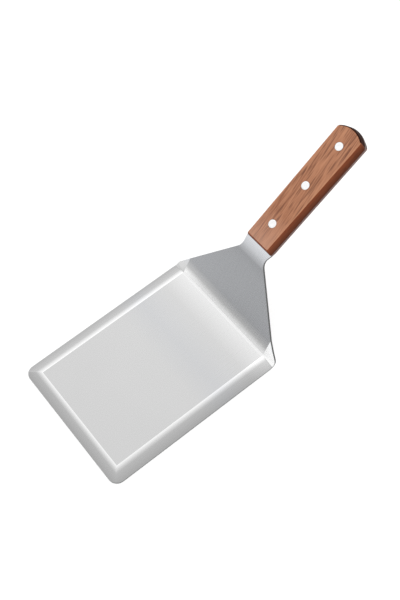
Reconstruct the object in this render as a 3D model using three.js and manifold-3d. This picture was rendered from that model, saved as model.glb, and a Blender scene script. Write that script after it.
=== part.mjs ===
// Grill spatula: a wide bevelled blade, a shoulder bent up from it, and a neck that runs on as
// a full tang between two wooden scales, held by three two-piece cutler's rivets.
// Millimetres. +X runs from the blade to the handle, +Z is up, and the blade's rim lies on z = 0.

import * as THREE from 'three';
import Module from 'manifold-3d';

const wasm = await Module();
wasm.setup();

const DEG = Math.PI / 180;

// Gap left between pieces that touch on the real tool.
const GAP = 0.3;

// Blade: one stamped sheet.
const SHEET = 1.8;
const BLADE_LENGTH = 152.4;
const BLADE_WIDTH = 126.4;
const FRONT_BEVEL = 10.8;
const SIDE_BEVEL = 11.9;
const BEVEL_DROP = 3.05;
const BEVEL_CREASE = 0.2;
const BEVEL_BEND = 0.4;
const RIM = 1;
const FRONT_CORNER_RADIUS = 8;

// Shoulder: the sheet bent sharply up at the heel and partly back at the neck. Its length and the
// place of the neck's turn are measured from the heel's bend line, the shoulder's turn likewise.
const SHOULDER_ANGLE = 54.5 * DEG;
const SHOULDER_LENGTH = 64.6;
const HEEL_RADIUS = 2;
const NECK_RADIUS = 24;
const SHOULDER_TURN = 0.65;
const SHOULDER_TURN_RADIUS = 10;
const NECK_TURN = 61.7;
const NECK_HALF = 12;
const NECK_TURN_RADIUS = 10;

// Handle: places along it are measured from the neck's bend line.
const HANDLE_ANGLE = 28.6 * DEG;
const HANDLE_START = 5.9;
const HANDLE_END = 119.1;
const HANDLE_HALF_START = 14.2;
const HANDLE_HALF_END = 15.2;
const HANDLE_END_RADIUS = 19.5;
const HANDLE_CORNER_RADIUS = 2.4;
const HANDLE_FRONT_CORNER_RADIUS = 1.2;
const SCALE_THICKNESS = 6.5;
const SCALE_LEAN = 2.4;
const SCALE_END_LEAN = 1.1;
const SCALE_EDGE_RADIUS = 1;

// Rivets: a headed pin pressed into a headed tube.
const RIVET_PLACES = { front: 25.5, middle: 63.5, rear: 101.5 };
const RIVET_HEAD_RADIUS = 3.4;
const RIVET_HEAD_THICKNESS = 1.6;
const RIVET_EDGE = 0.25;
const RIVET_DISH_RADIUS = 2.2;
const RIVET_DISH_DEPTH = 0.2;
const RIVET_PIN_RADIUS = 1.5;
const RIVET_TUBE_RADIUS = RIVET_PIN_RADIUS + GAP + 0.7;
const RIVET_SEGMENTS = 36;

// Lengths of the two bends along the top face, and the places where each starts and ends.
const HEEL_TANGENT = HEEL_RADIUS * Math.tan(SHOULDER_ANGLE / 2);
const HEEL_ARC = HEEL_RADIUS * SHOULDER_ANGLE;
const NECK_BEND = SHOULDER_ANGLE - HANDLE_ANGLE;
const NECK_TANGENT = NECK_RADIUS * Math.tan(NECK_BEND / 2);
const NECK_ARC = NECK_RADIUS * NECK_BEND;
const HEEL_FROM = BLADE_LENGTH - HEEL_TANGENT;
const HEEL_TO = HEEL_FROM + HEEL_ARC;
const NECK_FROM = HEEL_TO + SHOULDER_LENGTH - HEEL_TANGENT - NECK_TANGENT;
const NECK_TO = NECK_FROM + NECK_ARC;

const PANEL_TOP = RIM + BEVEL_DROP;
const PANEL_HALF = BLADE_WIDTH / 2 - SIDE_BEVEL;
const NECK_X = BLADE_LENGTH + SHOULDER_LENGTH * Math.cos(SHOULDER_ANGLE);
const NECK_Z = PANEL_TOP + SHOULDER_LENGTH * Math.sin(SHOULDER_ANGLE);

function toManifold(geometry) {
  const vertices = [];
  const triangles = [];
  const indexOf = new Map();
  const position = geometry.attributes.position;
  const corner = (i) => {
    const xyz = [position.getX(i), position.getY(i), position.getZ(i)];
    const key = xyz.map((value) => Math.round(value * 1e5)).join(' ');
    if (!indexOf.has(key)) {
      indexOf.set(key, vertices.length / 3);
      vertices.push(...xyz);
    }
    return indexOf.get(key);
  };
  const count = geometry.index ? geometry.index.count : position.count;
  for (let k = 0; k < count; k += 3) {
    const [a, b, c] = [k, k + 1, k + 2].map((n) => corner(geometry.index ? geometry.index.getX(n) : n));
    if (a !== b && b !== c && c !== a) triangles.push(a, b, c);
  }
  return new wasm.Manifold(new wasm.Mesh({
    numProp: 3,
    vertProperties: new Float32Array(vertices),
    triVerts: new Uint32Array(triangles),
  }));
}

function toGeometry(manifold) {
  const { vertProperties, triVerts } = manifold.getMesh();
  const geometry = new THREE.BufferGeometry();
  geometry.setAttribute('position', new THREE.BufferAttribute(new Float32Array(vertProperties), 3));
  geometry.setIndex(new THREE.BufferAttribute(new Uint32Array(triVerts), 1));
  return geometry;
}

function subtractAll(geometry, cutters) {
  let solid = toManifold(geometry);
  for (const cutter of cutters) solid = solid.subtract(toManifold(cutter));
  return toGeometry(solid);
}

// A grid of points as a surface. mainDiagonal says which way each quad is split.
function addGrid(triangles, rows, flip, mainDiagonal = () => true) {
  for (let i = 0; i + 1 < rows.length; i += 1) {
    for (let j = 0; j + 1 < rows[i].length; j += 1) {
      const [a, b, c, d] = [rows[i][j], rows[i + 1][j], rows[i + 1][j + 1], rows[i][j + 1]];
      const pair = mainDiagonal(i, j) ? [[a, b, c], [a, c, d]] : [[a, b, d], [b, c, d]];
      for (const [p, q, r] of pair) triangles.push(...(flip ? [r, q, p] : [p, q, r]));
    }
  }
}

function surfaceGeometry(triangles) {
  const geometry = new THREE.BufferGeometry();
  geometry.setFromPoints(triangles);
  return geometry;
}

function spread(from, to, steps) {
  return Array.from({ length: steps + 1 }, (_, k) => from + ((to - from) * k) / steps);
}

function arcPoints(centreX, centreY, radius, from, to, steps) {
  return spread(from, to, steps).map((angle) => (
    new THREE.Vector2(centreX + radius * Math.cos(angle), centreY + radius * Math.sin(angle))
  ));
}

// The corner at b, between a and c, rounded to a radius.
function roundCorner(a, b, c, radius, steps) {
  const back = a.clone().sub(b).normalize();
  const on = c.clone().sub(b).normalize();
  const half = Math.acos(back.dot(on)) / 2;
  const centre = b.clone().add(back.clone().add(on).normalize().multiplyScalar(radius / Math.sin(half)));
  const start = b.clone().addScaledVector(back, radius / Math.tan(half)).sub(centre);
  const end = b.clone().addScaledVector(on, radius / Math.tan(half)).sub(centre);
  const turn = Math.atan2(start.cross(end), start.dot(end));
  return arcPoints(centre.x, centre.y, radius, start.angle(), start.angle() + turn, steps);
}

function handleHalfWidth(s) {
  const taper = (HANDLE_HALF_END - HANDLE_HALF_START) / (HANDLE_END - HANDLE_START);
  return HANDLE_HALF_START + taper * (s - HANDLE_START);
}

// The far end of the handle's outline on one side: its rounded corner, then the shallow end arc,
// which stops half a step short of the middle line.
function handleEndOutline(sideInset, endInset) {
  const side = new THREE.Vector2(HANDLE_END - HANDLE_START, HANDLE_HALF_END - HANDLE_HALF_START).normalize();
  const outward = new THREE.Vector2(-side.y, side.x);
  const arcX = HANDLE_END - endInset - HANDLE_END_RADIUS;
  const onSide = new THREE.Vector2(HANDLE_START, HANDLE_HALF_START - sideInset);
  const reach = onSide.sub(new THREE.Vector2(arcX, 0)).dot(outward) - HANDLE_CORNER_RADIUS;
  const along = Math.sqrt((HANDLE_END_RADIUS - HANDLE_CORNER_RADIUS) ** 2 - reach ** 2);
  const corner = outward.clone().multiplyScalar(reach).addScaledVector(side, along);
  const meet = corner.angle();
  const steps = 6;
  return [
    ...arcPoints(arcX + corner.x, corner.y, HANDLE_CORNER_RADIUS, outward.angle(), meet, 5).slice(0, -1),
    ...arcPoints(arcX, 0, HANDLE_END_RADIUS, meet, meet / (2 * steps + 1), steps),
  ];
}

// Top face of the sheet's middle section at a distance along it from the front edge.
function profileAt(u) {
  if (u <= HEEL_FROM) return { x: u, z: PANEL_TOP, tilt: 0 };
  if (u <= HEEL_TO) {
    const tilt = (u - HEEL_FROM) / HEEL_RADIUS;
    return {
      x: HEEL_FROM + HEEL_RADIUS * Math.sin(tilt),
      z: PANEL_TOP + HEEL_RADIUS * (1 - Math.cos(tilt)),
      tilt,
    };
  }
  if (u <= NECK_FROM) {
    const s = u - HEEL_TO + HEEL_TANGENT;
    return {
      x: BLADE_LENGTH + s * Math.cos(SHOULDER_ANGLE),
      z: PANEL_TOP + s * Math.sin(SHOULDER_ANGLE),
      tilt: SHOULDER_ANGLE,
    };
  }
  if (u <= NECK_TO) {
    const start = profileAt(NECK_FROM);
    const tilt = SHOULDER_ANGLE - (u - NECK_FROM) / NECK_RADIUS;
    return {
      x: start.x + NECK_RADIUS * (Math.sin(SHOULDER_ANGLE) - Math.sin(tilt)),
      z: start.z + NECK_RADIUS * (Math.cos(tilt) - Math.cos(SHOULDER_ANGLE)),
      tilt,
    };
  }
  const s = u - NECK_TO + NECK_TANGENT;
  return {
    x: NECK_X + s * Math.cos(HANDLE_ANGLE),
    z: NECK_Z + s * Math.sin(HANDLE_ANGLE),
    tilt: HANDLE_ANGLE,
  };
}

// Half of the sheet's flat outline, as (distance along, half width) points from the front edge to
// the tang's end.
function sheetOutline() {
  const half = BLADE_WIDTH / 2;
  const front = new THREE.Vector2(0, half);
  const turn = new THREE.Vector2(BLADE_LENGTH + SHOULDER_TURN, half);
  const neck = new THREE.Vector2(HEEL_TO + NECK_TURN - HEEL_TANGENT, NECK_HALF);
  const toTang = NECK_TO - NECK_TANGENT;
  const tang = new THREE.Vector2(toTang + HANDLE_START, HANDLE_HALF_START);
  return [
    front,
    ...roundCorner(front, turn, neck, SHOULDER_TURN_RADIUS, 6),
    ...roundCorner(turn, neck, tang, NECK_TURN_RADIUS, 8),
    tang,
    ...handleEndOutline(0, 0).map((point) => new THREE.Vector2(point.x + toTang, point.y)),
  ];
}

function halfWidthAt(outline, u) {
  const next = outline.findIndex((point) => point.x >= u - 1e-9);
  if (next <= 0) return outline[0].y;
  const [a, b] = [outline[next - 1], outline[next]];
  return a.y + ((b.y - a.y) * (u - a.x)) / (b.x - a.x);
}

// Depth below the panel's top face, at a share of the way out across the bevel: a slight crease,
// then a bend down, then straight to the rim.
function bevelTop(share) {
  const straight = 2 * share * BEVEL_BEND - BEVEL_BEND ** 2;
  const bend = (share < BEVEL_BEND ? share ** 2 : straight) / (BEVEL_BEND * (2 - BEVEL_BEND));
  return BEVEL_DROP * (BEVEL_CREASE * share + (1 - BEVEL_CREASE) * bend);
}

// The underside runs parallel to the top, until it meets the plane that the rim is ground flat to.
function bevelUnderside(share) {
  return Math.min(PANEL_TOP, bevelTop(share) + SHEET);
}

// Share of the way out across the bevel at which the underside is ground flat.
function rimLandShare() {
  const slope = BEVEL_CREASE + ((1 - BEVEL_CREASE) * 2) / (2 - BEVEL_BEND);
  const offset = ((1 - BEVEL_CREASE) * BEVEL_BEND) / (2 - BEVEL_BEND);
  return ((PANEL_TOP - SHEET) / BEVEL_DROP + offset) / slope;
}

function bladeSheet() {
  const outline = sheetOutline();
  const shares = [0, 0.1, 0.2, 0.3, BEVEL_BEND, rimLandShare(), 1];
  const steps = shares.length - 1;
  const panelSteps = 10;
  const panelEdge = outline.find((point) => point.y < PANEL_HALF).x;
  const before = outline[outline.findIndex((point) => point.x === panelEdge) - 1];
  const bevelEnd = before.x + ((before.y - PANEL_HALF) * (panelEdge - before.x))
    / (before.y - halfWidthAt(outline, panelEdge));
  const stations = [
    ...shares.map((share) => FRONT_BEVEL * (1 - share)),
    ...spread(FRONT_BEVEL, HEEL_FROM, 8),
    ...spread(HEEL_FROM, HEEL_TO, 12),
    ...spread(NECK_FROM, NECK_TO, 6),
    bevelEnd,
    ...outline.map((point) => point.x),
  ].sort((a, b) => a - b).filter((u, k, all) => k === 0 || u - all[k - 1] > 0.02);
  const acrossAt = (u) => {
    const half = halfWidthAt(outline, u);
    const inner = Math.min(PANEL_HALF, half);
    const panel = spread(-inner, inner, panelSteps);
    const side = shares.map((share) => inner + (half - inner) * share);
    return [...side.slice(1).reverse().map((y) => -y), ...panel, ...side.slice(1)];
  };
  const place = (u, y, depthOf) => {
    const frontShare = Math.max(0, 1 - u / FRONT_BEVEL);
    const sideShare = Math.max(0, (Math.abs(y) - PANEL_HALF) / SIDE_BEVEL);
    const depth = depthOf(Math.min(1, Math.max(frontShare, sideShare)));
    const { x, z, tilt } = profileAt(u);
    return new THREE.Vector3(x + depth * Math.sin(tilt), y, z - depth * Math.cos(tilt));
  };
  const top = stations.map((u) => acrossAt(u).map((y) => place(u, y, bevelTop)));
  const under = stations.map((u) => acrossAt(u).map((y) => place(u, y, bevelUnderside)));
  const alongMitres = (i, j) => !(i < steps && j >= top[0].length - 1 - steps);
  const triangles = [];
  addGrid(triangles, top, false, alongMitres);
  addGrid(triangles, under, true, alongMitres);
  for (const edge of [0, top[0].length - 1]) {
    addGrid(triangles, top.map((row, i) => [row[edge], under[i][edge]]), edge === 0);
  }
  for (const edge of [0, top.length - 1]) {
    addGrid(triangles, [top[edge], under[edge]], edge === 0);
  }
  return surfaceGeometry(triangles);
}

// What is cut away to round one front corner of the blade; side is 1 or -1.
function frontCornerCutter(side) {
  const inside = FRONT_CORNER_RADIUS - 0.01;
  const centreY = BLADE_WIDTH / 2 - inside;
  const shape = new THREE.Shape([
    ...arcPoints(inside, side * centreY, FRONT_CORNER_RADIUS, Math.PI, Math.PI - (side * Math.PI) / 2, 10),
    new THREE.Vector2(inside, side * (BLADE_WIDTH / 2 + 2)),
    new THREE.Vector2(-2, side * (BLADE_WIDTH / 2 + 2)),
    new THREE.Vector2(-2, side * centreY),
  ]);
  return new THREE.ExtrudeGeometry(shape, { depth: 2 * PANEL_TOP, bevelEnabled: false })
    .translate(0, 0, -PANEL_TOP / 2);
}

// A cylinder through the handle, square to the tang, from one height to another.
function handleCylinder(radius, s, from, to) {
  return new THREE.CylinderGeometry(radius, radius, to - from, RIVET_SEGMENTS)
    .rotateX(Math.PI / 2)
    .translate(s, 0, (from + to) / 2);
}

function handleFrame() {
  const frame = new THREE.Group();
  frame.position.set(NECK_X, 0, NECK_Z);
  frame.rotation.y = -HANDLE_ANGLE;
  frame.updateMatrix();
  return frame;
}

function blade() {
  const handle = handleFrame();
  const holes = Object.values(RIVET_PLACES).map((s) => (
    handleCylinder(RIVET_TUBE_RADIUS + GAP, s, -SHEET - 5, 5).applyMatrix4(handle.matrix)
  ));
  return subtractAll(bladeSheet(), [...holes, frontCornerCutter(1), frontCornerCutter(-1)]);
}

// The scale's closed outline at an inset from the tang's outline.
function scaleOutline(sideInset, endInset) {
  const start = HANDLE_START + endInset;
  const half = handleHalfWidth(start) - sideInset;
  const radius = HANDLE_FRONT_CORNER_RADIUS;
  const upper = [
    ...arcPoints(start + radius, half - radius, radius, Math.PI, Math.PI / 2, 4),
    ...handleEndOutline(sideInset, endInset),
  ];
  const lower = upper.map((point) => new THREE.Vector2(point.x, -point.y)).reverse();
  return [...upper, ...lower];
}

// One wooden scale, standing on the tang's face: its sides lean in and its outer edge is rounded.
function scaleBody() {
  const straight = SCALE_THICKNESS - SCALE_EDGE_RADIUS;
  const levels = [{ height: GAP, side: 0, end: 0 }];
  for (let k = 0; k <= 5; k += 1) {
    const angle = (k / 5) * 90 * DEG;
    const round = SCALE_EDGE_RADIUS * (1 - Math.cos(angle));
    levels.push({
      height: straight + SCALE_EDGE_RADIUS * Math.sin(angle),
      side: SCALE_LEAN + round,
      end: SCALE_END_LEAN + round,
    });
  }
  const rings = levels.map(({ height, side, end }) => (
    scaleOutline(side, end).map((point) => new THREE.Vector3(point.x, point.y, height))
  ));
  const triangles = [];
  addGrid(triangles, rings.map((ring) => [...ring, ring[0]]), false);
  const cap = (ring, flip) => {
    const flat = ring.map((point) => new THREE.Vector2(point.x, point.y));
    for (const face of THREE.ShapeUtils.triangulateShape(flat, [])) {
      const corners = face.map((k) => ring[k]);
      const up = corners[1].clone().sub(corners[0]).cross(corners[2].clone().sub(corners[0])).z > 0;
      triangles.push(...(up === flip ? corners.reverse() : corners));
    }
  };
  cap(rings[0], true);
  cap(rings[rings.length - 1], false);
  return surfaceGeometry(triangles);
}

function scale() {
  const seat = SCALE_THICKNESS - RIVET_HEAD_THICKNESS - GAP;
  const holes = Object.values(RIVET_PLACES).flatMap((s) => [
    handleCylinder(RIVET_TUBE_RADIUS + GAP, s, -2, SCALE_THICKNESS + 2),
    handleCylinder(RIVET_HEAD_RADIUS + GAP, s, seat, SCALE_THICKNESS + 2),
  ]);
  return subtractAll(scaleBody(), holes);
}

function latheOnZ(profile) {
  const points = profile.map(([radius, height]) => new THREE.Vector2(radius, height));
  return new THREE.LatheGeometry(points, RIVET_SEGMENTS).rotateX(Math.PI / 2);
}

// The outer half of a rivet head, from its rim to its shallow dish on the axis.
function headFace(top) {
  return [
    [RIVET_HEAD_RADIUS, top - RIVET_EDGE],
    [RIVET_HEAD_RADIUS - RIVET_EDGE, top],
    [RIVET_DISH_RADIUS, top],
    [RIVET_DISH_RADIUS * 0.6, top - RIVET_DISH_DEPTH * 0.75],
    [0, top - RIVET_DISH_DEPTH],
  ];
}

const HEAD_UNDER = SCALE_THICKNESS - RIVET_HEAD_THICKNESS;

// Heights are from the tang's middle plane, so that both halves use the same ones.
const FROM_TANG_MIDDLE = SHEET / 2;

function rivetPin() {
  const head = HEAD_UNDER + FROM_TANG_MIDDLE;
  const tip = -head + GAP;
  return latheOnZ([
    [0, tip],
    [RIVET_PIN_RADIUS - 0.3, tip],
    [RIVET_PIN_RADIUS, tip + 0.5],
    [RIVET_PIN_RADIUS, head],
    [RIVET_HEAD_RADIUS, head],
    ...headFace(head + RIVET_HEAD_THICKNESS),
  ]);
}

function rivetTube() {
  const head = HEAD_UNDER + FROM_TANG_MIDDLE;
  const bore = RIVET_PIN_RADIUS + GAP;
  return latheOnZ([
    [0, head],
    [bore, head],
    [bore, -head + GAP],
    [RIVET_TUBE_RADIUS, -head + GAP],
    [RIVET_TUBE_RADIUS, head],
    [RIVET_HEAD_RADIUS, head],
    ...headFace(head + RIVET_HEAD_THICKNESS),
  ]).rotateX(Math.PI);
}

const steel = () => new THREE.MeshStandardMaterial({ color: 0xa9aaad, roughness: 0.38, metalness: 1 });
const wood = () => new THREE.MeshStandardMaterial({ color: 0x96603f, roughness: 0.6, metalness: 0 });
const rivetSteel = () => new THREE.MeshStandardMaterial({ color: 0xc9c8c4, roughness: 0.3, metalness: 1 });

function named(name, geometry, material) {
  const mesh = new THREE.Mesh(geometry, material);
  mesh.name = name;
  return mesh;
}

function handle() {
  const frame = handleFrame();
  frame.add(named('scale_upper', scale(), wood()));
  const lower = named('scale_lower', scale(), wood());
  lower.rotation.x = Math.PI;
  lower.position.z = -SHEET;
  frame.add(lower);
  for (const [place, s] of Object.entries(RIVET_PLACES)) {
    const pin = named(`rivet_pin_${place}`, rivetPin(), rivetSteel());
    const tube = named(`rivet_tube_${place}`, rivetTube(), rivetSteel());
    for (const half of [pin, tube]) half.position.set(s, 0, -FROM_TANG_MIDDLE);
    frame.add(pin, tube);
  }
  return frame;
}

// The whole tool, moved so that the origin is under the middle of its bounding box.
function spatula() {
  const group = new THREE.Group();
  group.add(named('blade', blade(), steel()), handle());
  group.updateMatrixWorld(true);
  const middle = new THREE.Box3().setFromObject(group, true).getCenter(new THREE.Vector3());
  for (const child of group.children) child.position.x -= middle.x;
  return group;
}

export default spatula();
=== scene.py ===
import math

import bmesh
import bpy
from mathutils import Matrix, Vector


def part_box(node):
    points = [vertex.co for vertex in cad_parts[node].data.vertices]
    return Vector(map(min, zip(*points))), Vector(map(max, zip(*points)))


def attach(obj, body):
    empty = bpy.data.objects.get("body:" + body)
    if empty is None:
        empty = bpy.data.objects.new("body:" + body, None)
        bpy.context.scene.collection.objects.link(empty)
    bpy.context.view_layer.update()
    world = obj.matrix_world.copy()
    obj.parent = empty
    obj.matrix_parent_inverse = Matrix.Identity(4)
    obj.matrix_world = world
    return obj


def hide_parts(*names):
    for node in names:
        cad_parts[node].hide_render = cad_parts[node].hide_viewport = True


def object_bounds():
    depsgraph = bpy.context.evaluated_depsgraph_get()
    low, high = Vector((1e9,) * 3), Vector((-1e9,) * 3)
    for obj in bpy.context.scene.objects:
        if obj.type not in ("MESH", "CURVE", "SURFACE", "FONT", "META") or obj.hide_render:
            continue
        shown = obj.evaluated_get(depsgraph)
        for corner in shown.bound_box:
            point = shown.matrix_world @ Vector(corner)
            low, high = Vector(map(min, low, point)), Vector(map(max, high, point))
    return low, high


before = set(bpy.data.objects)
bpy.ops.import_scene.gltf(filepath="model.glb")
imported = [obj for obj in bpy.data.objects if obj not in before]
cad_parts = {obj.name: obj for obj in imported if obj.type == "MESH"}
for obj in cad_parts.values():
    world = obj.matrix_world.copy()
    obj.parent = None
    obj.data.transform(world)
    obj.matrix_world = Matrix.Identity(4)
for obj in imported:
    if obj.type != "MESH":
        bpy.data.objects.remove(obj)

CAD_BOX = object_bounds()

# Every size below is in millimetres. Meshes are made in metres.
MM = 0.001

# Blade, as in the CAD model.
SHEET = 1.8
BLADE_LENGTH = 152.4
BLADE_WIDTH = 126.4
FRONT_BEVEL = 10.8
SIDE_BEVEL = 11.9
BEVEL_DROP = 3.05
BEVEL_CREASE = 0.2
BEVEL_BEND = 0.4
RIM = 1.0
FRONT_CORNER_RADIUS = 8.0

# Shoulder and neck.
SHOULDER_ANGLE = math.radians(54.5)
SHOULDER_LENGTH = 64.6
HEEL_RADIUS = 2.0
NECK_RADIUS = 24.0
SHOULDER_TURN = 0.65
SHOULDER_TURN_RADIUS = 10.0
NECK_TURN = 61.7
NECK_HALF = 12.0
NECK_TURN_RADIUS = 10.0

# Handle. Its ends lean a hair more than in the CAD model, to stay inside that one's faceted outline.
HANDLE_ANGLE = math.radians(28.6)
HANDLE_START = 5.9
HANDLE_END = 119.1
HANDLE_HALF_START = 14.2
HANDLE_HALF_END = 15.2
HANDLE_END_RADIUS = 19.5
HANDLE_CORNER_RADIUS = 2.4
HANDLE_FRONT_CORNER_RADIUS = 1.2
SCALE_THICKNESS = 6.5
SCALE_LEAN = 2.4
SCALE_END_LEAN = 1.14
SCALE_EDGE_RADIUS = 1.0
SCALE_GAP = 0.1
HANDLE_TAPER = (HANDLE_HALF_END - HANDLE_HALF_START) / (HANDLE_END - HANDLE_START)

RIVET_PLACES = {"front": 25.5, "middle": 63.5, "rear": 101.5}
RIVET_HEAD_RADIUS = 3.4
RIVET_HEAD_THICKNESS = 1.6
RIVET_PIN_RADIUS = 1.5
RIVET_GAP = 0.3
RIVET_TUBE_RADIUS = RIVET_PIN_RADIUS + RIVET_GAP + 0.7
RIVET_HEAD_GAP = 0.12
RIVET_RIM_RADIUS = 0.22
RIVET_DISH_RADIUS = 2.1

HEEL_TANGENT = HEEL_RADIUS * math.tan(SHOULDER_ANGLE / 2)
NECK_BEND = SHOULDER_ANGLE - HANDLE_ANGLE
NECK_TANGENT = NECK_RADIUS * math.tan(NECK_BEND / 2)
HEEL_FROM = BLADE_LENGTH - HEEL_TANGENT
HEEL_TO = HEEL_FROM + HEEL_RADIUS * SHOULDER_ANGLE
NECK_FROM = HEEL_TO + SHOULDER_LENGTH - HEEL_TANGENT - NECK_TANGENT
NECK_TO = NECK_FROM + NECK_RADIUS * NECK_BEND
TANG_ZERO = NECK_TO - NECK_TANGENT

PANEL_TOP = RIM + BEVEL_DROP
PANEL_HALF = BLADE_WIDTH / 2 - SIDE_BEVEL
NECK_X = BLADE_LENGTH + SHOULDER_LENGTH * math.cos(SHOULDER_ANGLE)
NECK_Z = PANEL_TOP + SHOULDER_LENGTH * math.sin(SHOULDER_ANGLE)
FRONT_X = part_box("blade")[0].x / MM


# ---------------------------------------------------------------- shapes

def spread(start, end, count):
    return [start + (end - start) * k / count for k in range(count + 1)]


def arc(centre, radius, start, end, steps):
    return [
        Vector((centre[0] + radius * math.cos(a), centre[1] + radius * math.sin(a)))
        for a in spread(start, end, steps)
    ]


def angle_of(vector):
    return math.atan2(vector.y, vector.x)


def rounded_corner(a, b, c, radius, steps):
    """Points of the arc that rounds the corner at b, between a and c."""
    back = (a - b).normalized()
    on = (c - b).normalized()
    half = back.angle(on) / 2
    centre = b + (back + on).normalized() * radius / math.sin(half)
    start = b + back * radius / math.tan(half) - centre
    end = b + on * radius / math.tan(half) - centre
    turn = math.atan2(start.x * end.y - start.y * end.x, start.dot(end))
    return arc(centre, radius, angle_of(start), angle_of(start) + turn, steps)


def handle_half_width(s):
    return HANDLE_HALF_START + HANDLE_TAPER * (s - HANDLE_START)


def handle_end_outline(side_inset, end_inset, corner_steps=10, end_steps=14):
    """Far end of the outline on one side, from the handle's side to half a step short of its middle."""
    side = Vector((HANDLE_END - HANDLE_START, HANDLE_HALF_END - HANDLE_HALF_START)).normalized()
    outward = Vector((-side.y, side.x))
    arc_x = HANDLE_END - end_inset - HANDLE_END_RADIUS
    on_side = Vector((HANDLE_START - arc_x, HANDLE_HALF_START - side_inset))
    reach = on_side.dot(outward) - HANDLE_CORNER_RADIUS
    along = math.sqrt((HANDLE_END_RADIUS - HANDLE_CORNER_RADIUS) ** 2 - reach ** 2)
    corner = outward * reach + side * along
    meet = angle_of(corner)
    centre = (arc_x + corner.x, corner.y)
    small = arc(centre, HANDLE_CORNER_RADIUS, angle_of(outward), meet, corner_steps)
    large = arc((arc_x, 0), HANDLE_END_RADIUS, meet, meet / (2 * end_steps + 1), end_steps)
    return small[:-1] + large


def profile_at(u):
    """(x, z, tilt) of the sheet's top face on its middle line, at a distance u from the front edge."""
    if u <= HEEL_FROM:
        return u, PANEL_TOP, 0.0
    if u <= HEEL_TO:
        tilt = (u - HEEL_FROM) / HEEL_RADIUS
        x = HEEL_FROM + HEEL_RADIUS * math.sin(tilt)
        return x, PANEL_TOP + HEEL_RADIUS * (1 - math.cos(tilt)), tilt
    if u <= NECK_FROM:
        s = u - HEEL_TO + HEEL_TANGENT
        x = BLADE_LENGTH + s * math.cos(SHOULDER_ANGLE)
        return x, PANEL_TOP + s * math.sin(SHOULDER_ANGLE), SHOULDER_ANGLE
    if u <= NECK_TO:
        start_x, start_z, _ = profile_at(NECK_FROM)
        tilt = SHOULDER_ANGLE - (u - NECK_FROM) / NECK_RADIUS
        x = start_x + NECK_RADIUS * (math.sin(SHOULDER_ANGLE) - math.sin(tilt))
        return x, start_z + NECK_RADIUS * (math.cos(tilt) - math.cos(SHOULDER_ANGLE)), tilt
    s = u - TANG_ZERO
    return NECK_X + s * math.cos(HANDLE_ANGLE), NECK_Z + s * math.sin(HANDLE_ANGLE), HANDLE_ANGLE


def sheet_outline():
    """Half of the sheet's flat outline behind the front corner, as (distance, half width)."""
    half = BLADE_WIDTH / 2
    front = Vector((FRONT_BEVEL, half))
    turn = Vector((BLADE_LENGTH + SHOULDER_TURN, half))
    neck = Vector((HEEL_TO + NECK_TURN - HEEL_TANGENT, NECK_HALF))
    tang = Vector((TANG_ZERO + HANDLE_START, HANDLE_HALF_START))
    return (
        [front]
        + rounded_corner(front, turn, neck, SHOULDER_TURN_RADIUS, 10)
        + rounded_corner(turn, neck, tang, NECK_TURN_RADIUS, 14)
        + [tang]
        + [Vector((p.x + TANG_ZERO, p.y)) for p in handle_end_outline(0, 0)]
    )


def half_width_at(outline, u):
    for a, b in zip(outline, outline[1:]):
        if u <= b.x + 1e-9:
            return a.y + (b.y - a.y) * (u - a.x) / (b.x - a.x)
    return outline[-1].y


def bevel_top(share):
    if share < BEVEL_BEND:
        bend = share ** 2
    else:
        bend = 2 * share * BEVEL_BEND - BEVEL_BEND ** 2
    bend /= BEVEL_BEND * (2 - BEVEL_BEND)
    return BEVEL_DROP * (BEVEL_CREASE * share + (1 - BEVEL_CREASE) * bend)


def bevel_share(u, y):
    front = 1 - u / FRONT_BEVEL
    side = (abs(y) - PANEL_HALF) / SIDE_BEVEL
    return min(1.0, max(0.0, front, side))


def sheet_point(u, y, under):
    depth = bevel_top(bevel_share(u, y))
    if under:
        depth = min(PANEL_TOP, depth + SHEET)
    x, z, tilt = profile_at(u)
    return Vector((FRONT_X + x + depth * math.sin(tilt), y, z - depth * math.cos(tilt))) * MM


def handle_matrix():
    place = Matrix.Translation(Vector((FRONT_X + NECK_X, 0, NECK_Z)) * MM)
    return place @ Matrix.Rotation(-HANDLE_ANGLE, 4, "Y")


# ---------------------------------------------------------------- mesh helpers

class Builder:
    """A bmesh whose vertices are made once for each key, and whose thin faces are left out."""

    def __init__(self, place):
        self.bm = bmesh.new()
        self.place = place
        self.vertices = {}

    def vertex(self, *key):
        key = tuple(round(k, 4) if isinstance(k, float) else k for k in key)
        if key not in self.vertices:
            self.vertices[key] = self.bm.verts.new(self.place(*key))
        return self.vertices[key]

    def face(self, corners, material=0):
        ring = []
        for corner in corners:
            if corner not in ring:
                ring.append(corner)
        if len(ring) < 3 or self.bm.faces.get(ring):
            return
        made = self.bm.faces.new(ring)
        made.material_index = material
        made.smooth = True

    def sharpen(self, a, b):
        edge = self.bm.edges.get((a, b)) if a is not b else None
        if edge:
            edge.smooth = False

    def finish(self, name, *materials):
        bmesh.ops.recalc_face_normals(self.bm, faces=self.bm.faces)
        mesh = bpy.data.meshes.new(name)
        for material in materials:
            mesh.materials.append(material)
        self.bm.to_mesh(mesh)
        self.bm.free()
        made = bpy.data.objects.new(name, mesh)
        bpy.context.scene.collection.objects.link(made)
        return made


def apply_modifiers(piece):
    bpy.context.view_layer.update()
    evaluated = piece.evaluated_get(bpy.context.evaluated_depsgraph_get())
    mesh = bpy.data.meshes.new_from_object(evaluated)
    piece.modifiers.clear()
    old = piece.data
    piece.data = mesh
    mesh.name = piece.name
    bpy.data.meshes.remove(old)


def round_edges(piece, width, segments=3, limit=45):
    bevel = piece.modifiers.new("edges", "BEVEL")
    bevel.width = width * MM
    bevel.segments = segments
    bevel.limit_method = "ANGLE"
    bevel.angle_limit = math.radians(limit)
    bevel.miter_outer = "MITER_ARC"
    apply_modifiers(piece)


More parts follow.
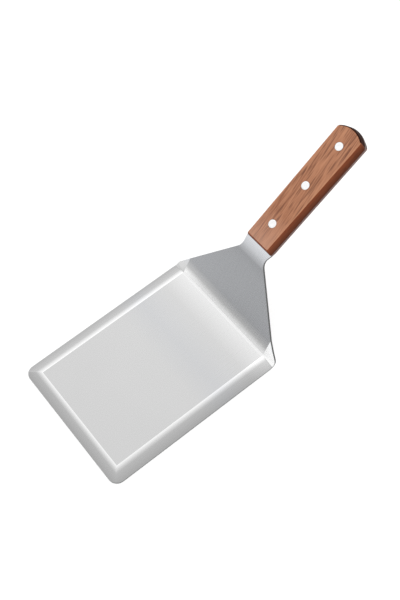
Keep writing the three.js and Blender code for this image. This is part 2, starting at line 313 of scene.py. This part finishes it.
def weigh_normals(piece):
    weighted = piece.modifiers.new("normals", "WEIGHTED_NORMAL")
    weighted.keep_sharp = True
    weighted.weight = 60
    apply_modifiers(piece)


def cut(piece, cutters):
    for cutter in cutters:
        boolean = piece.modifiers.new("cut", "BOOLEAN")
        boolean.operation = "DIFFERENCE"
        boolean.solver = "EXACT"
        boolean.object = cutter
    apply_modifiers(piece)
    for cutter in cutters:
        bpy.data.objects.remove(cutter)


def round_cutter(radius, s, low, high, place):
    bm = bmesh.new()
    bmesh.ops.create_cone(
        bm, cap_ends=True, segments=64,
        radius1=radius * MM, radius2=radius * MM, depth=(high - low) * MM,
        matrix=Matrix.Translation(Vector((s, 0, (low + high) / 2)) * MM),
    )
    mesh = bpy.data.meshes.new("cutter")
    bm.to_mesh(mesh)
    bm.free()
    made = bpy.data.objects.new("cutter", mesh)
    bpy.context.scene.collection.objects.link(made)
    made.matrix_world = place
    return made


def lathe(name, profile, material, steps=72):
    """A solid turned about Z from (radius, height) points, from axis to axis or closed on themselves."""
    closed = profile[0][0] > 0
    builder = Builder(lambda r, z, k: Vector((
        r * math.cos(2 * math.pi * k / steps), r * math.sin(2 * math.pi * k / steps), z,
    )) * MM)
    pairs = list(zip(profile, profile[1:] + profile[:1] if closed else profile[1:]))
    for (r0, z0), (r1, z1) in pairs:
        for k in range(steps):
            ring = [(r0, z0, k), (r0, z0, k + 1), (r1, z1, k + 1), (r1, z1, k)]
            corners = [
                builder.vertex(float(r), float(z), 0 if r == 0 else j % steps) for r, z, j in ring
            ]
            builder.face(corners)
    return builder.finish(name, material)


# ---------------------------------------------------------------- pieces

PANEL, BEVEL, EDGE = 0, 1, 2


def sheet_stations(outline):
    bevel_end = next(p.x for p in outline if p.y < PANEL_HALF)
    before = max((p for p in outline if p.x < bevel_end), key=lambda p: p.x)
    after = next(p for p in outline if p.x >= bevel_end)
    bevel_end = before.x + (before.y - PANEL_HALF) * (after.x - before.x) / (before.y - after.y)
    stations = (
        spread(FRONT_BEVEL, HEEL_FROM, 20)
        + spread(HEEL_FROM, HEEL_TO, 28)
        + spread(HEEL_TO, NECK_FROM, 8)
        + spread(NECK_FROM, NECK_TO, 14)
        + [bevel_end]
        + [p.x for p in outline]
    )
    kept = []
    for u in sorted(stations):
        if not kept or u - kept[-1] > 0.02:
            kept.append(u)
    return kept, bevel_end


def front_rim():
    """Rim of the front-left corner, from the side to the front, as (distance, half width) points."""
    half = BLADE_WIDTH / 2
    inside = FRONT_CORNER_RADIUS
    points = arc((inside, half - inside), FRONT_CORNER_RADIUS, math.pi / 2, math.pi, 16)
    return [Vector((FRONT_BEVEL, half))] + points + [Vector((0, PANEL_HALF))]


def with_mitre(points):
    """The same rim with a point added where the mitre line of the two bevels crosses it."""
    def off(p):
        return (1 - p.x / FRONT_BEVEL) - (p.y - PANEL_HALF) / SIDE_BEVEL

    for k, (a, b) in enumerate(zip(points, points[1:])):
        if off(a) < 0 <= off(b):
            mitre = a.lerp(b, off(a) / (off(a) - off(b)))
            return points[:k + 1] + [mitre] + points[k + 1:], k + 1
    return points, None


def blade_ribs(outline, stations, bevel_end, columns):
    """The bevel as a band of ribs, each from the panel's edge out to the rim, round the whole blade."""
    shares = spread(0, 1, 14)
    sides = [u for u in stations if u <= bevel_end + 1e-6]
    rim, mitre_at = with_mitre(front_rim())
    ribs, mitres = [], []

    def rib(inner, outer):
        return [inner.lerp(outer, share) for share in shares]

    def side_ribs(sign, order):
        for u in order:
            inner = min(PANEL_HALF, half_width_at(outline, u))
            ribs.append(rib(Vector((u, sign * inner)), Vector((u, sign * half_width_at(outline, u)))))

    def corner_ribs(sign, points, mitre):
        for k, p in enumerate(points):
            if k == mitre:
                mitres.append(len(ribs))
            ribs.append(rib(Vector((FRONT_BEVEL, sign * PANEL_HALF)), Vector((p.x, sign * p.y))))

    side_ribs(1, sides[:0:-1])
    corner_ribs(1, rim, mitre_at)
    for y in sorted(columns, reverse=True)[1:-1]:
        ribs.append(rib(Vector((FRONT_BEVEL, y)), Vector((0, y))))
    corner_ribs(-1, rim[::-1], len(rim) - 1 - mitre_at)
    side_ribs(-1, sides[1:])
    return ribs, mitres


def build_blade(*materials):
    outline = sheet_outline()
    stations, bevel_end = sheet_stations(outline)
    columns = spread(-1, 1, 24)
    front_columns = [PANEL_HALF * c for c in columns]
    builder = Builder(sheet_point)
    ribs, mitres = blade_ribs(outline, stations, bevel_end, front_columns)
    rows = []
    for u in stations:
        inner = min(PANEL_HALF, half_width_at(outline, u))
        rows.append([(float(u), inner * c) for c in columns])
    for under in (False, True):
        for row, after in zip(rows, rows[1:]):
            for a, b, c, d in zip(row, after, after[1:], row[1:]):
                builder.face([builder.vertex(*p, under) for p in (a, b, c, d)], PANEL)
        for rib, after in zip(ribs, ribs[1:]):
            for a, b, c, d in zip(rib, after, after[1:], rib[1:]):
                builder.face([builder.vertex(*p, under) for p in (a, b, c, d)], BEVEL)
        for k in mitres:
            for a, b in zip(ribs[k], ribs[k][1:]):
                builder.sharpen(builder.vertex(*a, under), builder.vertex(*b, under))
        for rib, after in zip(ribs, ribs[1:]):
            builder.sharpen(builder.vertex(*rib[0], under), builder.vertex(*after[0], under))
    rim = [rib[-1] for rib in ribs]
    tail = [row for row in rows if row[0][0] > bevel_end + 1e-6]
    rim = [Vector(row[-1]) for row in reversed(tail)] + rim + [Vector(row[0]) for row in tail]
    rim += [Vector(p) for p in tail[-1][1:]]
    for a, b in zip(rim, rim[1:]):
        ring = [builder.vertex(*a, False), builder.vertex(*b, False)]
        ring += [builder.vertex(*b, True), builder.vertex(*a, True)]
        builder.face(ring, EDGE)
    piece = builder.finish("blade_sheet", *materials)
    cut(piece, [
        round_cutter(RIVET_TUBE_RADIUS + RIVET_GAP, s, -SHEET - 5, 5, handle_matrix())
        for s in RIVET_PLACES.values()
    ])
    round_edges(piece, 0.25)
    weigh_normals(piece)
    return piece


def scale_outline(side_inset, end_inset):
    start = HANDLE_START + end_inset
    half = handle_half_width(start) - side_inset
    radius = HANDLE_FRONT_CORNER_RADIUS
    upper = arc((start + radius, half - radius), radius, math.pi, math.pi / 2, 8)
    upper += handle_end_outline(side_inset, end_inset)
    return upper + [Vector((p.x, -p.y)) for p in reversed(upper)]


TOP, SIDE, END = 0, 1, 2
TOP_FROM_LEVEL = 12


def scale_levels():
    """(height, side inset, end inset) of each ring, from the tang's face up over the rounded edge."""
    straight = SCALE_THICKNESS - SCALE_EDGE_RADIUS
    levels = [(SCALE_GAP, 0.12, 0.12), (SCALE_GAP + 0.12, 0.03, 0.03)]
    for share in spread(0, 1, 7)[1:-1]:
        height = SCALE_GAP + (straight - SCALE_GAP) * share
        levels.append((height, SCALE_LEAN * share, SCALE_END_LEAN * share))
    for k in range(8):
        angle = math.radians(90 * k / 7)
        inset = SCALE_EDGE_RADIUS * (1 - math.cos(angle))
        height = straight + SCALE_EDGE_RADIUS * math.sin(angle)
        levels.append((height, SCALE_LEAN + inset, SCALE_END_LEAN + inset))
    return levels


def build_scale(name, *materials):
    rings = []
    for height, side, end in scale_levels():
        rings.append([Vector((p.x, p.y, height)) for p in scale_outline(side, end)])
    builder = Builder(lambda level, k: rings[level][k] * MM)
    count = len(rings[0])
    for level in range(len(rings) - 1):
        for k in range(count):
            on = (k + 1) % count
            corners = [(level, k), (level, on), (level + 1, on), (level + 1, k)]
            across = rings[level][on] - rings[level][k]
            far_end = abs(across.x) < abs(across.y) and rings[level][k].x > HANDLE_END / 2
            material = END if far_end else SIDE
            if level >= TOP_FROM_LEVEL and abs(across.x) > abs(across.y):
                material = TOP
            builder.face([builder.vertex(*corner) for corner in corners], material)
    half = count // 2
    for level, material in ((0, SIDE), (len(rings) - 1, TOP)):
        for k in range(half - 1):
            corners = [(level, k), (level, k + 1), (level, count - 2 - k), (level, count - 1 - k)]
            builder.face([builder.vertex(*corner) for corner in corners], material)
    piece = builder.finish(name, *materials)
    seat = SCALE_THICKNESS - RIVET_HEAD_THICKNESS - RIVET_GAP
    still = Matrix.Identity(4)
    cut(piece, [
        round_cutter(RIVET_TUBE_RADIUS + RIVET_GAP, s, -2, SCALE_THICKNESS - 1, still)
        for s in RIVET_PLACES.values()
    ])
    cut(piece, [
        round_cutter(RIVET_HEAD_RADIUS + RIVET_HEAD_GAP, s, seat, SCALE_THICKNESS + 2, still)
        for s in RIVET_PLACES.values()
    ])
    weigh_normals(piece)
    return piece


def head_face(top, dish):
    """A rivet head's outer face, from its rim in to a shallow dish on the axis."""
    centre = (RIVET_HEAD_RADIUS - RIVET_RIM_RADIUS, top - RIVET_RIM_RADIUS)
    rim = [tuple(p) for p in arc(centre, RIVET_RIM_RADIUS, 0, math.pi / 2, 4)]
    bowl = [
        (RIVET_DISH_RADIUS * share, top - dish * math.cos(math.pi / 2 * share) ** 2)
        for share in spread(1, 0, 8)[:-1]
    ]
    return rim + [(RIVET_DISH_RADIUS * 1.15, top)] + bowl + [(0, top - dish)]


HEAD_UNDER = SCALE_THICKNESS - RIVET_HEAD_THICKNESS + SHEET / 2


def build_rivet_pin(name, dish, material):
    tip = -HEAD_UNDER + RIVET_GAP
    profile = [(0, tip), (RIVET_PIN_RADIUS - 0.3, tip), (RIVET_PIN_RADIUS, tip + 0.5)]
    profile += [(RIVET_PIN_RADIUS, HEAD_UNDER), (RIVET_HEAD_RADIUS, HEAD_UNDER)]
    return lathe(name, profile + head_face(HEAD_UNDER + RIVET_HEAD_THICKNESS, dish), material)


def build_rivet_tube(name, dish, material):
    bore = RIVET_PIN_RADIUS + RIVET_GAP
    mouth = -HEAD_UNDER + RIVET_GAP
    profile = [(0, HEAD_UNDER), (bore, HEAD_UNDER), (bore, mouth), (RIVET_TUBE_RADIUS, mouth)]
    profile += [(RIVET_TUBE_RADIUS, HEAD_UNDER), (RIVET_HEAD_RADIUS, HEAD_UNDER)]
    return lathe(name, profile + head_face(HEAD_UNDER + RIVET_HEAD_THICKNESS, dish), material)


# ---------------------------------------------------------------- materials

def linear(red, green, blue):
    def channel(value):
        value /= 255
        return value / 12.92 if value <= 0.04045 else ((value + 0.055) / 1.055) ** 2.4

    return channel(red), channel(green), channel(blue), 1.0


class Shader:
    """A material's node tree, with a short way to add a node and link its inputs."""

    def __init__(self, name):
        self.material = bpy.data.materials.new(name)
        self.material.use_nodes = True
        self.tree = self.material.node_tree
        self.surface = self.tree.nodes["Principled BSDF"]
        self.where = self.node("ShaderNodeTexCoord").outputs["Object"]

    def node(self, kind, inputs=(), **settings):
        made = self.tree.nodes.new(kind)
        for key, value in settings.items():
            setattr(made, key, value)
        for key, value in dict(inputs).items():
            if isinstance(value, bpy.types.NodeSocket):
                self.tree.links.new(value, made.inputs[key])
            else:
                made.inputs[key].default_value = value
        return made

    def math(self, operation, a, b=0.0, c=0.0):
        return self.node("ShaderNodeMath", {0: a, 1: b, 2: c}, operation=operation).outputs[0]

    def grain(self, stretch, detail=3.0, roughness=0.55, turn=(0.0, 0.0, 0.0), offset=(0.0, 0.0, 0.0)):
        """Noise with a feature of about stretch millimetres along each axis of the object, 0 to 1."""
        turned = self.node("ShaderNodeMapping", {"Vector": self.where, "Rotation": turn, "Location": offset})
        scale = tuple(1 / (MM * size) for size in stretch)
        scaled = self.node("ShaderNodeMapping", {"Vector": turned.outputs[0], "Scale": scale})
        noise = self.node("ShaderNodeTexNoise", {
            "Vector": scaled.outputs[0], "Scale": 1.0, "Detail": detail, "Roughness": roughness,
        })
        return noise.outputs["Fac"]

    def ramp(self, value, stops):
        made = self.node("ShaderNodeValToRGB", {"Fac": value})
        elements = made.color_ramp.elements
        while len(elements) < len(stops):
            elements.new(0.5)
        for element, (position, colour) in zip(elements, stops):
            element.position = position
            element.color = colour
        return made.outputs["Color"]

    def grade(self, value, stops):
        """A ramp of greys whose stops are places on the value itself instead of 0 to 1."""
        low = stops[0][0]
        span = stops[-1][0] - low
        share = self.math("MULTIPLY_ADD", value, 1 / span, -low / span)
        return self.ramp(share, [((place - low) / span, grey(tone)) for place, tone in stops])

    def times(self, a, b):
        return self.mix(1.0, a, b, "MULTIPLY")

    def mix(self, factor, a, b, blend="MIX"):
        made = self.node("ShaderNodeMix", data_type="RGBA", blend_type=blend)
        for socket, value in ((made.inputs[0], factor), (made.inputs[6], a), (made.inputs[7], b)):
            if isinstance(value, bpy.types.NodeSocket):
                self.tree.links.new(value, socket)
            else:
                socket.default_value = value
        return made.outputs[2]

    def set(self, socket, value):
        if isinstance(value, bpy.types.NodeSocket):
            self.tree.links.new(value, self.surface.inputs[socket])
        else:
            self.surface.inputs[socket].default_value = value

    def bump(self, height, distance, strength=1.0):
        made = self.node("ShaderNodeBump", {
            "Height": height, "Distance": distance * MM, "Strength": strength,
        })
        self.set("Normal", made.outputs[0])


def grey(value):
    return value, value, value, 1.0


def finish_steel(shader, bright, brushed, roughness):
    """Steel with faint brush marks, which run along the axis where brushed, in millimetres, is long."""
    marks = shader.grain(brushed, detail=4.0, roughness=0.7)
    clouds = shader.grain((38.0, 46.0, 40.0), detail=2.0)
    tone = shader.times(bright, shader.ramp(marks, [(0.25, grey(0.99)), (0.75, grey(1.0))]))
    haze = shader.ramp(clouds, [(0.3, grey(0.985)), (0.7, grey(1.0))])
    shader.set("Base Color", shader.times(tone, haze))
    shader.set("Metallic", 1.0)
    low = grey(roughness * 0.95)
    high = grey(roughness * 1.05)
    shader.set("Roughness", shader.ramp(marks, [(0.3, low), (0.7, high)]))
    shader.bump(marks, 0.0003, 0.15)
    return shader.material


# Painted light and shade on the pressed sheet, in a few steps of brightness each. BEVEL is a painted
# highlight along each bevel's crease and runs across the bevel, as a share of the way out from its crease.
# HEEL, BEVEL_END and COOLNESS run along the tool, in millimetres from the heel's bend line, and NECK from
# just before the neck. HEEL is a painted highlight along the heel's fold that fades onto the shoulder,
# with painted brightening of the panel towards the heel. NECK is painted shade in a band at the neck and
# painted light up the tang. FACET is painted light on the corners behind the heel and runs from right to
# left over them. BEVEL_END is a painted brightening of the right bevel towards the heel. BEVEL_END
# multiplies the right bevel and NECK everything. COOLNESS is the share of the COOL tint, a painted cool
# reflection.
BEVEL_PAINTED_HIGHLIGHT = [(0.0, 0.84), (0.15, 0.71), (0.4, 0.49), (1.0, 0.4)]
HEEL_PAINTED_LIGHT = [
    (-64.0, 0.54), (-44.0, 0.515), (-20.0, 0.545), (-1.5, 0.67),
    (0.3, 0.93), (1.8, 0.86), (4.5, 0.5), (8.0, 0.37), (34.0, 0.35),
]
NECK_PAINTED_LIGHT_FROM = NECK_X - 9.0
NECK_PAINTED_LIGHT = [(0.0, 1.0), (4.5, 0.94), (9.0, 1.75), (14.0, 2.2)]
COOL = (0.975, 0.993, 1.03, 1.0)
COOLNESS = [(-64.0, 0.0), (-44.0, 0.5), (-20.0, 0.0), (4.0, 0.0), (9.0, 1.0)]
FACET_PAINTED_LIGHT = [(-1.0, 1.0), (0.0, 1.0), (0.1, 0.64), (1.0, 0.6)]
BEVEL_END_PAINTED_LIGHT = [(-40.0, 1.0), (-20.0, 1.05), (0.0, 1.4)]


def sheet_steel():
    """The blade's steel: satin, with a painted highlight along each pressed crease that fades away from it,
    and painted light and shade along the heel, the neck and the corners behind the heel.
    """
    shader = Shader("sheet_steel")
    place = shader.node("ShaderNodeSeparateXYZ", {0: shader.where})
    along = shader.math("MULTIPLY_ADD", place.outputs[0], 1 / MM, -FRONT_X)
    front = shader.math("MULTIPLY_ADD", along, -1 / FRONT_BEVEL, 1.0)
    across = shader.math("ABSOLUTE", place.outputs[1])
    side = shader.math("MULTIPLY_ADD", across, 1 / (MM * SIDE_BEVEL), -PANEL_HALF / SIDE_BEVEL)
    share = shader.math("MAXIMUM", front, side)
    from_heel = shader.math("SUBTRACT", along, BLADE_LENGTH)
    # Painted highlight along the heel's fold, fading onto the shoulder, and painted brightening of the panel
    # towards the heel.
    panel = shader.grade(from_heel, HEEL_PAINTED_LIGHT)
    # Painted shade in a band at the neck, then painted light up the tang; it multiplies everything.
    neck = shader.grade(shader.math("SUBTRACT", along, NECK_PAINTED_LIGHT_FROM), NECK_PAINTED_LIGHT)
    # Painted highlight along each bevel's crease, fading out towards the rim.
    bevel = shader.grade(share, BEVEL_PAINTED_HIGHLIGHT)
    # Painted brightening of the right bevel towards the heel.
    right = shader.math("LESS_THAN", place.outputs[1], 0.0)
    bevel = shader.mix(right, bevel, shader.times(bevel, shader.grade(from_heel, BEVEL_END_PAINTED_LIGHT)))
    # Painted light on the corner facets behind the heel, brighter on the right one.
    leftward = shader.math("MULTIPLY", place.outputs[1], 2 / (MM * BLADE_WIDTH))
    behind_heel = shader.math("GREATER_THAN", along, BLADE_LENGTH)
    bevel = shader.mix(behind_heel, bevel, shader.grade(leftward, FACET_PAINTED_LIGHT))
    tone = shader.mix(shader.math("GREATER_THAN", share, 0.0), panel, bevel)
    tone = shader.times(tone, neck)
    # Cool tint of a painted reflection, in a band before the heel and over everything behind it.
    tone = shader.mix(shader.grade(from_heel, COOLNESS), tone, shader.times(tone, COOL))
    return finish_steel(shader, tone, (50.0, 0.45, 50.0), 0.27)


def edge_steel():
    """The sheet's cut edge: painted shade makes it dark round the blade, and a painted brown reflection of
    the wood makes it a little brighter between the scales.
    """
    shader = Shader("steel_edge")
    place = shader.node("ShaderNodeSeparateXYZ", {0: shader.where})
    held = shader.math("GREATER_THAN", place.outputs[0], (FRONT_X + NECK_X + HANDLE_START) * MM)
    # Painted shade on the blade's cut edge, and a painted brown reflection of the wood on the tang's edge.
    tone = shader.mix(held, grey(0.12), linear(118, 98, 93))
    return finish_steel(shader, tone, (20.0, 20.0, 0.3), 0.45)


GRAIN_SLANT = math.radians(-7)
PALE_WOOD = linear(204, 160, 138)
WOOD_TONES = (
    linear(108, 57, 35),
    linear(166, 105, 73),
    linear(198, 140, 105),
    linear(80, 37, 23),
)


def wood(name, shade, gloss, low=1.0):
    """Oiled reddish hardwood: a slightly oblique grain, dark pores, and a slow change of tone.

    It is paler near the neck, has a painted highlight along the top's rounded edges, and has painted shade
    that darkens it to low times itself at the tang. shade multiplies the whole colour: for the sides it is
    painted shade, and for the far end painted shade over the darker end grain.
    """
    shader = Shader(name)
    shader.where = shader.node("ShaderNodeMapping", {
        "Vector": shader.where,
        "Location": handle_matrix().to_translation(),
        "Rotation": (0.0, -HANDLE_ANGLE, 0.0),
    }, vector_type="TEXTURE").outputs[0]
    turn = (0.0, 0.0, GRAIN_SLANT)
    figure = shader.grain((34.0, 2.6, 2.6), detail=6.0, roughness=0.72, turn=turn)
    fibres = shader.grain((15.0, 0.75, 0.75), detail=2.0, turn=turn, offset=(0.0, 0.3, 0.1))
    pores = shader.grain((13.0, 0.85, 0.85), detail=0.0, turn=turn, offset=(0.2, 0.0, 0.0))
    drift = shader.grain((60.0, 30.0, 30.0), detail=1.0)
    dark, middle, light, pore = WOOD_TONES
    tone = shader.ramp(figure, [(0.34, dark), (0.47, middle), (0.64, light)])
    tone = shader.mix(0.55, tone, shader.ramp(fibres, [(0.3, dark), (0.7, light)]))
    tone = shader.mix(shader.ramp(drift, [(0.35, grey(0.0)), (0.65, grey(0.3))]), tone, light)
    tone = shader.mix(shader.ramp(pores, [(0.3, grey(0.6)), (0.42, grey(0.0))]), tone, pore)
    place = shader.node("ShaderNodeSeparateXYZ", {0: shader.where})
    along = shader.math("MULTIPLY", place.outputs[0], 1 / (MM * HANDLE_END))
    tone = shader.mix(shader.ramp(along, [(0.06, grey(0.45)), (0.3, grey(0.0))]), tone, PALE_WOOD)
    # Painted highlight: paler towards the top's rounded edges, and by half all over the sides, which lie
    # beyond them.
    half_top = MM * (HANDLE_HALF_START - SCALE_LEAN)
    width = shader.math("MULTIPLY_ADD", place.outputs[0], HANDLE_TAPER, half_top)
    reach = shader.math("DIVIDE", shader.math("ABSOLUTE", place.outputs[1]), width)
    tone = shader.mix(shader.ramp(reach, [(0.82, grey(0.0)), (0.94, grey(0.5))]), tone, light)
    # Painted shade: darker towards the tang, down to low times the tone.
    depth = shader.math("ABSOLUTE", place.outputs[2])
    height = shader.math("MULTIPLY", depth, 1 / (MM * SCALE_THICKNESS))
    tone = shader.times(tone, shader.ramp(height, [(0.1, grey(low)), (0.9, grey(1.0))]))
    # shade is painted shade on the sides and the far end; the top has none.
    shader.set("Base Color", shader.times(tone, shade))
    shader.set("Roughness", shader.ramp(figure, [(0.3, grey(0.5)), (0.7, grey(0.42))]))
    shader.set("Specular IOR Level", gloss)
    shader.bump(shader.math("ADD", fibres, shader.math("MULTIPLY", pores, 0.6)), 0.03, 0.5)
    return shader.material


def floor_material():
    shader = Shader("floor")
    tone = shader.grain((900.0, 900.0, 900.0), detail=1.0)
    shader.set("Base Color", shader.ramp(tone, [(0.3, grey(0.5)), (0.7, grey(0.52))]))
    shader.set("Roughness", 0.9)
    shader.set("Specular IOR Level", 0.1)
    shader.set("Emission Color", grey(1.0))
    shader.set("Emission Strength", 0.62)
    return shader.material


# ---------------------------------------------------------------- the tool

def add_piece(piece, node):
    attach(piece, "root")
    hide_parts(node)


def add_blade():
    sheet = sheet_steel()
    add_piece(build_blade(sheet, sheet, edge_steel()), "blade")


def add_scales():
    top = wood("wood_top", grey(1.0), 0.3)
    # The sides and the far end are shaded copies of the wood: painted shade, over the far end's darker end
    # grain.
    side = wood("wood_side_painted_shade", (0.4, 0.21, 0.12, 1.0), 0.12, low=0.45)
    end = wood("wood_end_grain_painted_shade", (0.07, 0.04, 0.033, 1.0), 0.02)
    place = handle_matrix()
    flip = Matrix.Translation((0, 0, -SHEET * MM)) @ Matrix.Rotation(math.pi, 4, "X")
    for name, node, matrix in (
        ("wood_scale_upper", "scale_upper", place),
        ("wood_scale_lower", "scale_lower", place @ flip),
    ):
        piece = build_scale(name, top, side, end)
        piece.data.transform(matrix)
        add_piece(piece, node)


def add_rivets():
    bright = finish_steel(Shader("rivet_steel"), grey(0.98), (1.5, 0.3, 1.5), 0.25)
    middle = handle_matrix() @ Matrix.Translation((0, 0, -SHEET / 2 * MM))
    for place, s in RIVET_PLACES.items():
        matrix = middle @ Matrix.Translation((s * MM, 0, 0))
        dish = 0.04 if place == "middle" else 0.2
        pin = build_rivet_pin(f"rivet_pin_{place}_head", dish, bright)
        tube = build_rivet_tube(f"rivet_tube_{place}_head", dish, bright)
        pin.data.transform(matrix)
        tube.data.transform(matrix @ Matrix.Rotation(math.pi, 4, "X"))
        for piece, node in ((pin, f"rivet_pin_{place}"), (tube, f"rivet_tube_{place}")):
            weigh_normals(piece)
            add_piece(piece, node)


# ---------------------------------------------------------------- stage, light and camera

def add_floor():
    bm = bmesh.new()
    bmesh.ops.create_grid(bm, x_segments=8, y_segments=8, size=6.0)
    mesh = bpy.data.meshes.new("floor")
    bm.to_mesh(mesh)
    bm.free()
    floor = bpy.data.objects.new("floor", mesh)
    bpy.context.scene.collection.objects.link(floor)
    floor.location.z = CAD_BOX[0].z - 0.0002
    mesh.materials.append(floor_material())


def add_world():
    """An evenly lit room, brightest high up beyond the tool's left side."""
    world = bpy.data.worlds.new("studio")
    bpy.context.scene.world = world
    world.use_nodes = True
    nodes, links = world.node_tree.nodes, world.node_tree.links
    background = nodes["Background"]
    where = nodes.new("ShaderNodeTexCoord").outputs["Generated"]
    facing = nodes.new("ShaderNodeVectorMath")
    facing.operation = "DOT_PRODUCT"
    facing.inputs[1].default_value = Vector((0.45, 0.6, 0.66)).normalized()
    links.new(where, facing.inputs[0])
    ramp = nodes.new("ShaderNodeValToRGB")
    stops = [(0.0, 0.97), (0.45, 0.96), (0.69, 1.03), (0.93, 1.28), (1.0, 1.46)]
    elements = ramp.color_ramp.elements
    while len(elements) < len(stops):
        elements.new(0.5)
    for element, (position, value) in zip(elements, stops):
        element.position = position
        element.color = grey(value)
    links.new(facing.outputs["Value"], ramp.inputs["Fac"])
    links.new(ramp.outputs["Color"], background.inputs["Color"])
    background.inputs["Strength"].default_value = 1.0


def add_camera():
    place = Vector((-203.65, -362.95, 718.8)) * MM
    aim = Vector((-6.8, 12.55, 20.0)) * MM
    roll = math.radians(11.76)
    data = bpy.data.cameras.new("camera")
    data.lens = 61.7
    data.sensor_width = 36.0
    data.clip_end = 50.0
    camera = bpy.data.objects.new("camera", data)
    bpy.context.scene.collection.objects.link(camera)
    look = (aim - place).to_track_quat("-Z", "Y").to_matrix().to_4x4()
    camera.matrix_world = Matrix.Translation(place) @ look @ Matrix.Rotation(-roll, 4, "Z")
    bpy.context.scene.camera = camera


bpy.context.scene.view_settings.view_transform = "Standard"
add_blade()
add_scales()
add_rivets()
add_floor()
add_world()
add_camera()
